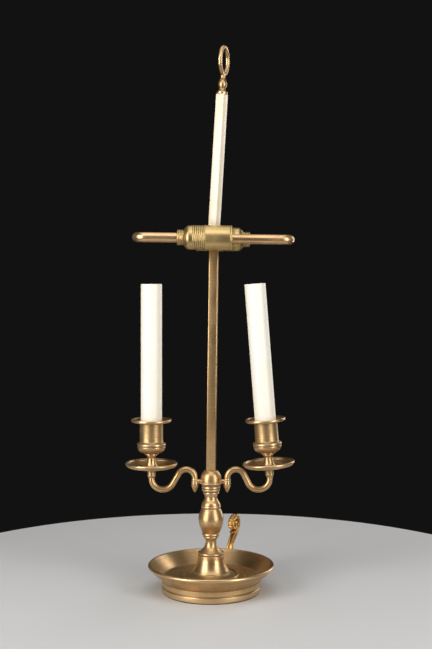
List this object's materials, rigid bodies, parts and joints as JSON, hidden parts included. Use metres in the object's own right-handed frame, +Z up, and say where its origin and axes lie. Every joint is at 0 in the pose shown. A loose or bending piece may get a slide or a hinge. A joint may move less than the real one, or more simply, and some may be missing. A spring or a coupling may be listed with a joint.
{
  "type": "bouillotte lamp",
  "caption": "Brass bouillotte table lamp on a dish base, with swinging candle arms, horizontal lampholders on bent tubes and a shade rod ending in a ring.",
  "frame": {"origin": "middle of the base's underside, on the surface that the lamp stands on", "axes": "+Z up along the stem, -Y the front with one lampholder's shell nearest, +X the right-hand candle arm"},
  "size_m": [0.1978, 0.1762, 0.6347],
  "materials": {
    "satin_brass": "satin antique brass",
    "polished_brass": "polished brass",
    "bronze_tube": "copper-bronze satin",
    "gilt": "gilt casting",
    "ivory": "cream enamel",
    "candle": "cream-white tube",
    "steel": "zinc plated",
    "cast_iron": "as cast",
    "felt": "green felt",
    "insulator": "glazed ceramic",
    "cable": "brown insulated lead"
  },
  "bodies": {
    "lamp": {"felt_pad": "felt", "base_dish": "satin_brass", "base_weight": "cast_iron", "tie_rod_washer": "steel", "tie_rod_nut": "steel", "tie_rod": "steel", "terminal_block": "insulator", "cable_bushing": "cable", "scroll_handle": "gilt", "handle_screws": "satin_brass", "bell_foot": "satin_brass", "double_collar": "satin_brass", "vase_body": "satin_brass", "waist": "satin_brass", "capital": "satin_brass", "left_bracket": "satin_brass", "right_bracket": "satin_brass", "post": "satin_brass", "post_plug": "satin_brass", "hub": "polished_brass", "post_screw": "satin_brass", "left_tube_arm": "bronze_tube", "right_tube_arm": "bronze_tube", "front_nut": "polished_brass", "rear_nut": "polished_brass", "front_cap": "polished_brass", "rear_cap": "polished_brass", "front_ribbed_ring": "polished_brass", "rear_ribbed_ring": "polished_brass", "front_shell": "polished_brass", "rear_shell": "polished_brass", "front_insulator": "insulator", "rear_insulator": "insulator", "front_thread_sleeve": "polished_brass", "rear_thread_sleeve": "polished_brass", "riser_lead": "cable", "left_lead": "cable", "right_lead": "cable"},
    "left_swing": {"left_arm": "satin_brass", "left_boss": "satin_brass", "left_drip_pan": "satin_brass", "left_spool": "satin_brass", "left_bowl": "satin_brass", "left_candle_cup": "satin_brass", "left_nipple": "steel", "left_cup_nut": "steel"},
    "right_swing": {"right_arm": "satin_brass", "right_boss": "satin_brass", "right_drip_pan": "satin_brass", "right_spool": "satin_brass", "right_bowl": "satin_brass", "right_candle_cup": "satin_brass", "right_nipple": "steel", "right_cup_nut": "steel"},
    "left_candle_body": {"left_candle": "candle"},
    "right_candle_body": {"right_candle": "candle"},
    "shade_rod_body": {"shade_rod": "ivory", "rod_stud": "steel", "finial_knop": "satin_brass", "ring_finial": "satin_brass"}
  },
  "joints": [
    {"name": "left_arm_swing", "type": "hinge", "parent": "lamp", "child": "left_swing", "pos_m": [-0.0188, 0, 0.1269], "axis": [0, 0, 1], "range_deg": [-60, 60]},
    {"name": "right_arm_swing", "type": "hinge", "parent": "lamp", "child": "right_swing", "pos_m": [0.0188, 0, 0.1269], "axis": [0, 0, 1], "range_deg": [-60, 60]},
    {"name": "left_candle_lift", "type": "slide", "parent": "left_swing", "child": "left_candle_body", "axis": [0, 0, 1], "range_m": [0, 0.035]},
    {"name": "right_candle_lift", "type": "slide", "parent": "right_swing", "child": "right_candle_body", "axis": [-0.0767, 0, 0.9971], "range_m": [0, 0.035]},
    {"name": "shade_rod_turn", "type": "hinge", "parent": "lamp", "child": "shade_rod_body", "pos_m": [0.00373, 0, 0.42458], "axis": [0.0593, 0, 0.9982], "range_deg": [-90, 90]}
  ]
}
